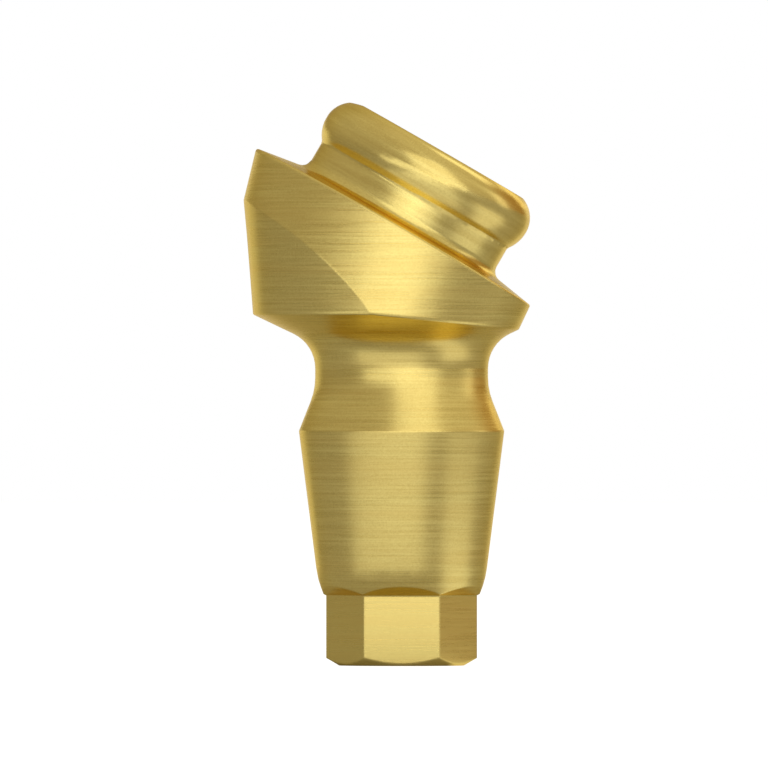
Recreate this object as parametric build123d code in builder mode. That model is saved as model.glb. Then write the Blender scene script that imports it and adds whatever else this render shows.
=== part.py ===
from build123d import *
import os
from math import acos, asin, cos, degrees, radians, sin, sqrt, tan

# Angled attachment abutment for a dental implant, one turned and milled piece.
# Lengths are in millimetres and angles in degrees. The origin is the middle of the hexagon's end face,
# +Z runs up the implant axis and +X is the side to which the attachment head leans.

# Hexagon that keeps the abutment from turning in the implant
hex_sides = 6
hex_across_flats = 2.5
hex_height = 1.34
hex_end_diameter = 2.38
hex_bevel_angle = 30
hex_runout_angle = 30
hex_edge_round = 0.03

# Connection cone above the hexagon
cone_end_diameter = 2.96
cone_top_diameter = 3.92
cone_foot_height = 1.86
cone_top_height = 4.475
cone_half_angle = 7.2
cone_edge_round = 0.05

# Waist between the connection cone and the collar. Its two radii shrink together if the waist is too short
# for them and for the straight land between them.
waist_diameter = 3.30
waist_taper_angle = 21.5
waist_lower_radius = 1.23
waist_upper_radius = 0.73
waist_land = 0.02

# Turned collar, which widens upward from its base edge, a neck's height above the cone's top
collar_base_diameter = 5.68
neck_height = 2.225
flare_angle = 25.5
collar_wall_angle = 4.6
collar_edge_round = 0.05

# Attachment head: its axis leans by the tilt and passes the flange at the offset given and at the rise
# above the collar's base edge.
# The flange's rim is not quite round and its middle lies a little off that axis, towards its high side.
head_tilt = 30
head_offset = -0.115
head_rise = 1.649
flange_length = 6.034
flange_width = 5.338
flange_shift = -0.052
flange_top_slope = 9
groove_diameter = 4.08
groove_fillet = 0.2
groove_top_fillet = 0.12
bead_diameter = 4.40
bead_equator_height = 1.17
bead_lower_radius = 0.69
bead_upper_radius = 0.57
head_height = 1.705

# Foot of the oblique collar wall, which runs down from the flange's rim. The drop is from the head's base,
# and the carry is the share of its height by which the wall is taken past the rim.
wall_foot_drop = 1.969
wall_foot_length = 5.846
wall_foot_spread = 0.262
wall_foot_offset = -0.7
wall_carry = 0.3

# Screw channel on the implant axis
shank_bore_diameter = 1.6
head_bore_diameter = 2.0
screw_seat_height = 4.1
bore_edge_chamfer = 0.06

# Largest difference at which an edge still counts as the one looked for
match = 0.001

# Values worked out from the sizes above
hex_inradius = hex_across_flats / 2
hex_step = 360 / hex_sides
hex_end_radius = hex_end_diameter / 2
collar_base_height = cone_top_height + neck_height
head_base_height = collar_base_height + head_rise
cone_end_radius = cone_end_diameter / 2
cone_top_radius = cone_top_diameter / 2
cone_foot_radius = cone_top_radius - (cone_top_height - cone_foot_height) * tan(radians(cone_half_angle))
waist_radius = waist_diameter / 2
collar_base_radius = collar_base_diameter / 2
waist_foot_height = cone_top_height + (cone_top_radius - waist_radius) / tan(radians(waist_taper_angle))
flare_foot_height = collar_base_height - (collar_base_radius - waist_radius) * tan(radians(flare_angle))
waist_length = flare_foot_height - waist_foot_height
lower_reach = waist_lower_radius * tan(radians(waist_taper_angle / 2))
upper_reach = waist_upper_radius * tan(radians((90 - flare_angle) / 2))
waist_ease = min(1, (waist_length - waist_land) / (lower_reach + upper_reach))
wall_foot_height = head_base_height - wall_foot_drop
wall_foot_width = flange_width + wall_foot_spread
blank_top_height = head_base_height + flange_length
blank_top_radius = collar_base_radius + (blank_top_height - collar_base_height) * tan(
    radians(collar_wall_angle)
)

tilt = radians(head_tilt)
head_origin = Vector(head_offset, 0, head_base_height)
head_across = (cos(tilt), 0, -sin(tilt))
head_section = Plane(origin=head_origin, x_dir=head_across, z_dir=(0, -1, 0))
head_axis = Axis(head_origin, (sin(tilt), 0, cos(tilt)))
groove_radius = groove_diameter / 2
bead_radius = bead_diameter / 2
flange_radius = flange_length / 2
rim_offset = head_offset + flange_shift * cos(tilt)
rim_height = head_base_height - flange_shift * sin(tilt)

# The blank: cone, waist, flare and collar wall turned about the implant axis
with BuildPart() as blank:
    with BuildSketch(Plane.XZ):
        with BuildLine():
            end_edge = Line((0, hex_height), (cone_end_radius, hex_height))
            rounding = TangentArc(
                (cone_foot_radius, cone_foot_height),
                end_edge @ 1,
                tangent=(-sin(radians(cone_half_angle)), -cos(radians(cone_half_angle))),
            )
            cone = Line(rounding @ 0, (cone_top_radius, cone_top_height))
            Polyline(
                cone @ 1,
                (waist_radius, waist_foot_height),
                (waist_radius, flare_foot_height),
                (collar_base_radius, collar_base_height),
                (blank_top_radius, blank_top_height),
                (0, blank_top_height),
                (0, hex_height),
            )
        make_face()
        waist_foot = vertices().sort_by_distance((waist_radius, waist_foot_height))[0]
        fillet(waist_foot, radius=waist_lower_radius * waist_ease)
        flare_foot = vertices().sort_by_distance((waist_radius, flare_foot_height))[0]
        fillet(flare_foot, radius=waist_upper_radius * waist_ease)
    revolve(axis=Axis.Z)

# The oblique wall is ruled from its foot to the flange's rim and on to a larger ellipse above the rim,
# where the cone on top of the flange trims it
top_reach = (1 + wall_carry) * flange_radius * cos(tilt) - wall_carry * wall_foot_length / 2
top_rise = (1 + wall_carry) * flange_radius * sin(tilt)
top_width = (1 + wall_carry) * flange_width - wall_carry * wall_foot_width
top_centre = (
    (1 + wall_carry) * rim_offset - wall_carry * wall_foot_offset,
    0,
    (1 + wall_carry) * rim_height - wall_carry * wall_foot_height,
)
top_plane = Plane(origin=top_centre, x_dir=(top_reach, 0, -top_rise), z_dir=(top_rise, 0, top_reach))

with BuildPart() as collar_envelope:
    with BuildSketch(Plane((wall_foot_offset, 0, wall_foot_height))):
        Ellipse(wall_foot_length / 2, wall_foot_width / 2)
    with BuildSketch(top_plane):
        Ellipse(sqrt(top_reach**2 + top_rise**2), top_width / 2)
    loft(ruled=True)
    with BuildSketch():
        Circle(blank_top_radius)
    extrude(amount=wall_foot_height)

# Everything below the flange's shallow top cone, about the leaning axis
cone_rise = tan(radians(flange_top_slope))
with BuildPart() as below_flange_top:
    with BuildSketch(head_section):
        with BuildLine():
            Polyline(
                (0, -blank_top_height),
                (blank_top_height, -blank_top_height),
                (blank_top_height, (flange_radius - blank_top_height) * cone_rise),
                (0, flange_radius * cone_rise),
                close=True,
            )
        make_face()
    revolve(axis=head_axis)

# Groove and bead on the leaning axis
bead_lower_centre = (bead_radius - bead_lower_radius, bead_equator_height)
bead_upper_centre = (bead_radius - bead_upper_radius, bead_equator_height)
bead_foot_angle = -degrees(acos((groove_radius - bead_lower_centre[0]) / bead_lower_radius))
bead_foot_height = bead_equator_height + bead_lower_radius * sin(radians(bead_foot_angle))
bead_top_angle = degrees(asin((head_height - bead_equator_height) / bead_upper_radius))
with BuildPart() as head:
    with BuildSketch(head_section):
        with BuildLine():
            lower = CenterArc(bead_lower_centre, bead_lower_radius, bead_foot_angle, -bead_foot_angle)
            upper = CenterArc(bead_upper_centre, bead_upper_radius, 0, bead_top_angle)
            Polyline(upper @ 1, (0, head_height), (0, -groove_fillet), (groove_radius, -groove_fillet), lower @ 0)
        make_face()
        bead_foot = vertices().sort_by_distance((groove_radius, bead_foot_height))[0]
        fillet(bead_foot, radius=groove_top_fillet)
    revolve(axis=head_axis)

# Hexagon with the round bevel of a nut at its end
with BuildPart() as hexagon:
    with BuildSketch():
        RegularPolygon(hex_inradius, side_count=hex_sides, major_radius=False)
    extrude(amount=hex_height)
    fillet(hexagon.edges().filter_by(Axis.Z), radius=hex_edge_round)
    with BuildSketch(Plane.XZ):
        with BuildLine():
            Polyline(
                (0, 0),
                (hex_end_radius, 0),
                (hex_end_radius + hex_height / tan(radians(hex_bevel_angle)), hex_height),
                (0, hex_height),
                close=True,
            )
        make_face()
    revolve(axis=Axis.Z, mode=Mode.INTERSECT)

# Sloped run-outs of the cutter that milled the six flats, where they enter the cone
runout_rise = (cone_top_radius - hex_inradius) * tan(radians(hex_runout_angle))
with BuildPart() as hex_runouts:
    for flat in range(hex_sides):
        with BuildSketch(Plane.XZ.rotated((0, 0, (flat + 0.5) * hex_step))):
            with BuildLine():
                Polyline(
                    (hex_inradius, hex_height),
                    (cone_top_radius, hex_height),
                    (cone_top_radius, hex_height + runout_rise),
                    close=True,
                )
            make_face()
        extrude(amount=cone_top_radius, both=True)

# The abutment, from the blank to the finished piece
with BuildPart() as abutment:
    add(blank.part)
    add(collar_envelope.part, mode=Mode.INTERSECT)
    add(below_flange_top.part, mode=Mode.INTERSECT)
    add(head.part)

    # Fillet at the foot of the groove, round edge on top of the cone
    groove_foot = abutment.edges().filter_by(
        lambda e: e.geom_type == GeomType.CIRCLE and abs(e.radius - groove_radius) < match
    ).sort_by(head_axis)[0]
    fillet(groove_foot, radius=groove_fillet)
    cone_edge = abutment.edges().filter_by(
        lambda e: e.geom_type == GeomType.CIRCLE and abs(e.radius - cone_top_radius) < match
    )
    fillet(cone_edge, radius=cone_edge_round)

    # Fine rounding along the flange's rim, the crease between the two collar walls and the collar's foot
    wall_front = Vertex(head_offset, -wall_foot_width / 2, (head_base_height + wall_foot_height) / 2)
    oblique_wall = abutment.faces().sort_by_distance(wall_front)[0]
    collar_foot = abutment.edges().filter_by(
        lambda e: e.geom_type == GeomType.CIRCLE and abs(e.radius - collar_base_radius) < match
    )
    wall_edges = oblique_wall.edges().filter_by(lambda e: e.length > collar_base_radius)
    fillet(wall_edges + collar_foot, radius=collar_edge_round)

    # Connection hexagon and the run-outs above its flats
    add(hex_runouts.part, mode=Mode.SUBTRACT)
    add(hexagon.part)

    # Stepped screw channel from the head's top to the hexagon's end
    with Locations((0, 0, blank_top_height)):
        CounterBoreHole(
            radius=shank_bore_diameter / 2,
            counter_bore_radius=head_bore_diameter / 2,
            counter_bore_depth=blank_top_height - screw_seat_height,
            depth=blank_top_height,
        )
    end_rim = abutment.edges().filter_by(
        lambda e: e.geom_type == GeomType.CIRCLE and abs(e.radius - shank_bore_diameter / 2) < match
    ).sort_by(Axis.Z)[0]
    chamfer(end_rim, length=bore_edge_chamfer)
abutment.part.label = "abutment"

os.makedirs("parts", exist_ok=True)
export_step(abutment.part, "parts/abutment.step")
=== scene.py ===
import math

import bpy
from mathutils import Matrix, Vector

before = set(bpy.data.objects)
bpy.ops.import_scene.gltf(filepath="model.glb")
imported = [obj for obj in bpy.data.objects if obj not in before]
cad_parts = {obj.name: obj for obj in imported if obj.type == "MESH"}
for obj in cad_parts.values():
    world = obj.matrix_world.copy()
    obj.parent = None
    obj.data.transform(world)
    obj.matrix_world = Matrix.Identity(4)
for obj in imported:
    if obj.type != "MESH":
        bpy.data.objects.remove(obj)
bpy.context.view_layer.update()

MM = 0.001
WHITE = (1, 1, 1, 1)

# The photograph's frame: its size, its scale and where the implant axis meets the hexagon's end face
IMAGE_SIZE = 768
PIXELS_PER_METRE = 52400
AXIS_PX = 401.6
FOOT_PX = 665.5

# The camera's lens and sensor, in the millimetres that its settings use, and its clipping in metres
LENS_LENGTH = 1400
SENSOR_WIDTH = 36
CLIP_START, CLIP_END = 0.001, 10

# Sizes of the object that its finish follows
HEX_TOP = 1.34 * MM
HEAD_TILT = math.radians(30)
HEAD_BASE = Vector((-0.115, 0, 8.349)) * MM
HEAD_AXIS = Vector((math.sin(HEAD_TILT), 0, math.cos(HEAD_TILT)))
HEAD_ACROSS = (math.cos(HEAD_TILT), 0, -math.sin(HEAD_TILT))

# The coat: its colours, its lathe lines as cells per metre across and along their axis, and its fine grain
DARK_GOLD = (0.73, 0.58, 0.185, 1)
LIGHT_GOLD = (0.93, 0.78, 0.28, 1)
WARM_GOLD = (0.84, 0.63, 0.20, 1)
BODY_LINES = (500, 500, 26000)
HEAD_LINES = (420, 420, 9000)
STREAK_SHARE = (0.6, 0.6, 0.16)
STREAK_RANGE = (0.35, 0.65)
STREAK_WARMTH = 0.35
GRAIN_CELLS = 30000
GRAIN_SHARE = 0.5
NOISE_MIDDLE = 0.5
LINE_RANGE = (0.25, 0.75)
LINE_CONTRAST = 0.2
HEX_LINE_SHARE = 0.3
HEX_BLEND = 0.1 * MM
HEAD_BLEND = (-0.01 * MM, 0.03 * MM)
BODY_ROUGHNESS = (0.24, 0.34)
HEAD_ROUGHNESS = (0.2, 0.28)
BODY_RELIEF, HEAD_RELIEF = 0.3, 0.1
RELIEF_DEPTH = 0.004 * MM
EDGE_ROUND = 0.05 * MM
EDGE_SAMPLES = 8

# The room that the metal mirrors, where 1 is white. The spans are parts of a direction's X or Z.
ROOM_COLOR = (1.12, 1.0, 0.77, 1)
ROOM_LEVEL = 0.30
ROOM_RIGHT, RIGHT_SPAN = 0.16, (-0.2, 0.8)
ROOM_HIGH, HIGH_SPAN = 0.10, (0.05, 0.4)
ROOM_TOP, TOP_SPAN = 0.10, (0.6, 0.95)

# The part of the room that is brown, as an azimuth and as a span of the cosine of the angle from it
BROWN_COLOR = (0.82, 0.52, 0.22, 1)
BROWN_AZIMUTH = math.radians(132)
BROWN_SIDE = (math.sin(BROWN_AZIMUTH), -math.cos(BROWN_AZIMUTH), 0)
BROWN_SPAN = (0.78, 0.95)

# The paper: its half width in metres, its own colour and the glow that the camera sees
FLOOR_HALF = 2.0
FLOOR_COLOR = (0.45, 0.45, 0.45, 1)
FLOOR_GLOW = 0.90

# Light painted on the paper, which only the metal's reflections see, with painted shade close to the foot.
# Azimuths are in degrees from the camera's side, to the right.
PAPER_GLOW = 0.08
ZONE_SOFTNESS = 12
SWEEP_LEFT, SWEEP_RIGHT = -62, 28
SWEEP_EDGE = -20 * MM
SWEEP_SOFTNESS = 0.2
# Painted glow of the sweep by distance from the foot: none close to the foot, as painted shade
SWEEP_GLOW = ((5.5 * MM, 0.0), (8 * MM, 0.42), (20 * MM, 0.36), (36 * MM, 0.7))
PATCH_LEFT, PATCH_RIGHT = 52, 98
PATCH_GLOW = 0.5
PATCH_START, PATCH_END = 14 * MM, 28 * MM
BACK_LEFT, BACK_RIGHT = -142, 150
BACK_GLOW = 0.6
BACK_START, BACK_END = 12 * MM, 26 * MM

# The backdrop reaches from one back azimuth to the other, and up to its top's elevation in degrees
BACKDROP_DISTANCE = 0.8
BACKDROP_TOP = 8

# Soft boxes: left and right azimuth, low and high elevation, in degrees, and level, where 1 is white.
# The elevations count from the centre height.
BOX_DISTANCE = 0.12
BOX_CENTRE = 5.4 * MM
SOFT_BOXES = {
    "front_low": (-52, 50, -2.5, 12, 0.9),
    "front_high": (-10, 48, 12, 50, 0.66),
    "side_strip": (93, 109, -2, 20, 0.6),
    "high_right": (108, 134, 32, 58, 0.8),
    "back_right": (143, 160, 8, 26, 0.85),
}


class Nodes:
    """Short way to add and link the nodes of one material."""

    def __init__(self, material):
        material.use_nodes = True
        self.tree = material.node_tree
        self.tree.nodes.clear()

    def fill(self, socket, value):
        if isinstance(value, bpy.types.NodeSocket):
            self.tree.links.new(value, socket)
        else:
            socket.default_value = value

    def add(self, kind, inputs=None, **settings):
        node = self.tree.nodes.new(kind)
        for name, value in settings.items():
            setattr(node, name, value)
        for name, value in (inputs or {}).items():
            self.fill(node.inputs[name], value)
        return node

    def math(self, operation, a, b=0.0):
        return self.add("ShaderNodeMath", {0: a, 1: b}, operation=operation).outputs[0]

    def vector(self, operation, a, b=(0, 0, 0)):
        node = self.add("ShaderNodeVectorMath", {0: a, 1: b}, operation=operation)
        return node.outputs["Value"] if operation in ("DOT_PRODUCT", "LENGTH") else node.outputs["Vector"]

    def ramp(self, value, low, high, to_low=0.0, to_high=1.0):
        inputs = {"Value": value, "From Min": low, "From Max": high, "To Min": to_low, "To Max": to_high}
        return self.add("ShaderNodeMapRange", inputs).outputs["Result"]

    def steps(self, value, stops):
        """Level that goes from one (place, level) stop to the next."""
        level = stops[0][1]
        for (start, low), (end, high) in zip(stops, stops[1:]):
            level = self.math("ADD", level, self.ramp(value, start, end, 0.0, high - low))
        return level

    def band(self, azimuth, left, right):
        """1 between two azimuths in degrees, 0 beyond them, with soft edges."""
        left, right, soft = (math.radians(angle) for angle in (left, right, ZONE_SOFTNESS))
        rising = self.ramp(azimuth, left - soft / 2, left + soft / 2)
        falling = self.ramp(azimuth, right - soft / 2, right + soft / 2, 1.0, 0.0)
        return self.math("MULTIPLY", rising, falling)

    def mix(self, factor, a, b, kind="RGBA"):
        """Mix of two colours, vectors or numbers, whose sockets are told apart by their places."""
        node = self.add("ShaderNodeMix", {0: factor}, data_type=kind)
        first, second, result = {"RGBA": (6, 7, 2), "VECTOR": (4, 5, 1), "FLOAT": (2, 3, 0)}[kind]
        self.fill(node.inputs[first], a)
        self.fill(node.inputs[second], b)
        return node.outputs[result]

    def noise(self, vector, scale, detail, roughness):
        inputs = {"Vector": vector, "Scale": scale, "Detail": detail, "Roughness": roughness}
        return self.add("ShaderNodeTexNoise", inputs).outputs["Fac"]

    def split(self, vector):
        return self.add("ShaderNodeSeparateXYZ", {0: vector}).outputs


def gold_coat():
    """Gold-coloured hard coat on turned titanium: lathe lines round each axis, polished head."""
    material = bpy.data.materials.new("gold_coat")
    n = Nodes(material)
    place = n.add("ShaderNodeTexCoord").outputs["Object"]
    normal = n.add("ShaderNodeNewGeometry").outputs["Normal"]
    _, depth, rise = n.split(place)

    # How far a point lies above the flange, along the head's own axis
    from_head = n.vector("SUBTRACT", place, tuple(HEAD_BASE))
    height = n.vector("DOT_PRODUCT", from_head, tuple(HEAD_AXIS))
    on_head = n.ramp(height, *HEAD_BLEND)

    # Lathe lines: noise that changes fast along the axis and slowly round it
    body_lines = n.vector("MULTIPLY", place, BODY_LINES)
    across = n.vector("DOT_PRODUCT", place, HEAD_ACROSS)
    head_place = n.add("ShaderNodeCombineXYZ", {0: across, 1: depth, 2: height}).outputs[0]
    head_lines = n.vector("MULTIPLY", head_place, HEAD_LINES)
    line_place = n.mix(on_head, body_lines, head_lines, "VECTOR")
    streak_place = n.vector("MULTIPLY", line_place, STREAK_SHARE)
    fine = n.noise(line_place, scale=1.0, detail=3.0, roughness=0.6)
    streaks = n.noise(streak_place, scale=1.0, detail=2.0, roughness=0.5)
    grain = n.noise(place, scale=GRAIN_CELLS, detail=1.0, roughness=0.5)

    # The brushing turns about the implant axis on the body and about the leaning axis on the head
    body_tangent = n.vector("CROSS_PRODUCT", (0, 0, 1), normal)
    head_tangent = n.vector("CROSS_PRODUCT", tuple(HEAD_AXIS), normal)
    tangent = n.vector("NORMALIZE", n.mix(on_head, body_tangent, head_tangent, "VECTOR"))

    # The lines are weaker on the hexagon, which is milled
    on_turned = n.ramp(rise, HEX_TOP, HEX_TOP + HEX_BLEND, HEX_LINE_SHARE, 1.0)
    marks = n.math("ADD", fine, n.math("MULTIPLY", grain, GRAIN_SHARE))
    marks = n.math("SUBTRACT", marks, NOISE_MIDDLE * (1 + GRAIN_SHARE))
    marks = n.math("MULTIPLY", marks, on_turned)

    color = n.mix(n.ramp(marks, -LINE_CONTRAST, LINE_CONTRAST), DARK_GOLD, LIGHT_GOLD)
    color = n.mix(n.ramp(streaks, *STREAK_RANGE, 0.0, STREAK_WARMTH), color, WARM_GOLD)
    body_roughness = n.ramp(fine, *LINE_RANGE, *BODY_ROUGHNESS)
    head_roughness = n.ramp(fine, *LINE_RANGE, *HEAD_ROUGHNESS)
    roughness = n.mix(on_head, body_roughness, head_roughness, "FLOAT")
    strength = n.math("MULTIPLY", n.ramp(on_head, 0, 1, BODY_RELIEF, HEAD_RELIEF), on_turned)
    eased = n.add("ShaderNodeBevel", {"Radius": EDGE_ROUND}, samples=EDGE_SAMPLES).outputs["Normal"]
    relief = {"Height": fine, "Strength": strength, "Distance": RELIEF_DEPTH, "Normal": eased}
    bump = n.add("ShaderNodeBump", relief)

    shader = n.add("ShaderNodeBsdfPrincipled", {
        "Base Color": color,
        "Metallic": 1.0,
        "Roughness": roughness,
        "Anisotropic": 0.4,
        "Specular Tint": (0.95, 0.8, 0.45, 1),
        "Tangent": tangent,
        "Normal": bump.outputs["Normal"],
    })
    n.add("ShaderNodeOutputMaterial", {"Surface": shader.outputs[0]})
    return material


def floor_material():
    """White paper: plain to the camera, with light painted round the foot that only the metal mirrors, and
    painted shade close to the foot.
    """
    material = bpy.data.materials.new("floor")
    n = Nodes(material)
    path = n.add("ShaderNodeLightPath")
    place = n.add("ShaderNodeTexCoord").outputs["Object"]
    right, back, _ = n.split(place)
    reach = n.vector("LENGTH", place)
    azimuth = n.math("ARCTAN2", right, n.math("MULTIPLY", back, -1.0))

    # Painted light of a sweep in front, which ends at an edge on the left and is dark close to the foot as
    # painted shade
    edge = n.ramp(right, (1 + SWEEP_SOFTNESS) * SWEEP_EDGE, (1 - SWEEP_SOFTNESS) * SWEEP_EDGE)
    sweep = n.math("MULTIPLY", n.band(azimuth, SWEEP_LEFT, SWEEP_RIGHT), edge)
    sweep = n.math("MULTIPLY", sweep, n.steps(reach, SWEEP_GLOW))

    # Painted light of a patch on the right, which fades outward
    fade = n.ramp(reach, PATCH_START, PATCH_END, PATCH_GLOW, 0.0)
    patch = n.math("MULTIPLY", n.band(azimuth, PATCH_LEFT, PATCH_RIGHT), fade)

    # Painted light in the zone behind, which is what the two back azimuths leave out, dark close to the foot
    # as painted shade
    behind = n.math("SUBTRACT", 1.0, n.band(azimuth, BACK_LEFT, BACK_RIGHT))
    behind = n.math("MULTIPLY", behind, n.ramp(reach, BACK_START, BACK_END, 0.0, BACK_GLOW))
    painted_glow = n.math("ADD", n.math("ADD", sweep, patch), n.math("ADD", behind, PAPER_GLOW))

    # The painted light shows only in glossy rays, so the metal mirrors it as a painted reflection
    seen = n.math("MULTIPLY", path.outputs["Is Camera Ray"], FLOOR_GLOW)
    painted_reflection = n.math("MULTIPLY", path.outputs["Is Glossy Ray"], painted_glow)
    diffuse = n.add("ShaderNodeBsdfDiffuse", {"Color": FLOOR_COLOR})
    glow = n.add("ShaderNodeEmission", {"Color": WHITE, "Strength": n.math("ADD", seen, painted_reflection)})
    both = n.add("ShaderNodeAddShader", {0: diffuse.outputs[0], 1: glow.outputs[0]})
    n.add("ShaderNodeOutputMaterial", {"Surface": both.outputs[0]})
    return material


def backdrop_material():
    """White to the camera and in the metal, without lighting the rest."""
    material = bpy.data.materials.new("backdrop")
    n = Nodes(material)
    path = n.add("ShaderNodeLightPath")
    seen = n.math("MAXIMUM", path.outputs["Is Camera Ray"], path.outputs["Is Glossy Ray"])
    seen = n.math("MAXIMUM", seen, path.outputs["Is Transmission Ray"])
    glow = n.add("ShaderNodeEmission", {"Color": WHITE, "Strength": seen})
    n.add("ShaderNodeOutputMaterial", {"Surface": glow.outputs[0]})
    return material


def add_sheet(name, corners, material):
    """Flat four-cornered sheet of the stage."""
    mesh = bpy.data.meshes.new(name)
    mesh.from_pydata(corners, [], [(0, 1, 2, 3)])
    sheet = bpy.data.objects.new(name, mesh)
    bpy.context.scene.collection.objects.link(sheet)
    sheet.data.materials.append(material)


def add_stage():
    """Floor below the object and white backdrop behind it."""
    half = FLOOR_HALF
    add_sheet("floor", [(-half, -half, 0), (half, -half, 0), (half, half, 0), (-half, half, 0)],
              floor_material())
    back = BACKDROP_DISTANCE
    left = -back * math.tan(math.radians(180 + BACK_LEFT))
    right = back * math.tan(math.radians(180 - BACK_RIGHT))
    top = back * math.tan(math.radians(BACKDROP_TOP))
    corners = [(left, back, 0), (right, back, 0), (right, back, top), (left, back, top)]
    add_sheet("backdrop", corners, backdrop_material())


def add_world():
    """Dim room, brighter to the right and overhead, brown at the back right. The camera sees it as white."""
    world = bpy.data.worlds.new("room")
    bpy.context.scene.world = world
    n = Nodes(world)
    path = n.add("ShaderNodeLightPath")
    direction = n.add("ShaderNodeTexCoord").outputs["Generated"]
    right, _, up = n.split(direction)
    level = n.math("ADD", n.ramp(right, *RIGHT_SPAN, 0.0, ROOM_RIGHT), ROOM_LEVEL)
    level = n.math("ADD", level, n.ramp(up, *HIGH_SPAN, 0.0, ROOM_HIGH))
    level = n.math("ADD", level, n.ramp(up, *TOP_SPAN, 0.0, ROOM_TOP))
    toward_brown = n.vector("DOT_PRODUCT", direction, BROWN_SIDE)
    color = n.mix(n.ramp(toward_brown, *BROWN_SPAN), ROOM_COLOR, BROWN_COLOR)
    room = n.add("ShaderNodeBackground", {"Color": color, "Strength": level}).outputs[0]
    white = n.add("ShaderNodeBackground", {"Color": WHITE, "Strength": 1.0}).outputs[0]
    mixed = n.add("ShaderNodeMixShader", {0: path.outputs["Is Camera Ray"], 1: room, 2: white})
    n.add("ShaderNodeOutputWorld", {"Surface": mixed.outputs[0]})


def add_box(name, left, right, low, high, level):
    """Upright soft box of even level, which the camera doesn't see."""
    middle = math.radians((left + right) / 2)
    toward = Vector((math.sin(middle), -math.cos(middle), 0))
    width = 2 * BOX_DISTANCE * math.tan(math.radians((right - left) / 2))
    bottom, top = (BOX_DISTANCE * math.tan(math.radians(angle)) for angle in (low, high))
    light = bpy.data.lights.new(name, "AREA")
    light.shape = "RECTANGLE"
    light.size = width
    light.size_y = top - bottom
    light.energy = math.pi * width * (top - bottom) * level
    lamp = bpy.data.objects.new(name, light)
    lamp.location = toward * BOX_DISTANCE + Vector((0, 0, BOX_CENTRE + (bottom + top) / 2))
    lamp.rotation_euler = (-toward).to_track_quat("-Z", "Y").to_euler()
    lamp.visible_camera = False
    bpy.context.scene.collection.objects.link(lamp)


def add_camera():
    """Very long lens straight at the object's front, framed as the photograph."""
    to_right = (IMAGE_SIZE / 2 - AXIS_PX) / PIXELS_PER_METRE
    above_foot = (FOOT_PX - IMAGE_SIZE / 2) / PIXELS_PER_METRE
    distance = IMAGE_SIZE / PIXELS_PER_METRE * LENS_LENGTH / SENSOR_WIDTH
    data = bpy.data.cameras.new("camera")
    data.lens = LENS_LENGTH
    data.sensor_width = SENSOR_WIDTH
    data.clip_start = CLIP_START
    data.clip_end = CLIP_END
    camera = bpy.data.objects.new("camera", data)
    camera.location = (to_right, -distance, above_foot)
    camera.rotation_euler = (math.pi / 2, 0, 0)
    bpy.context.scene.collection.objects.link(camera)
    bpy.context.scene.camera = camera


add_camera()
add_world()
add_stage()
for box_name, box_bounds in SOFT_BOXES.items():
    add_box(box_name, *box_bounds)

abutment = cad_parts["abutment"]
abutment.data.materials.clear()
abutment.data.materials.append(gold_coat())

bpy.context.scene.view_settings.view_transform = "Standard"
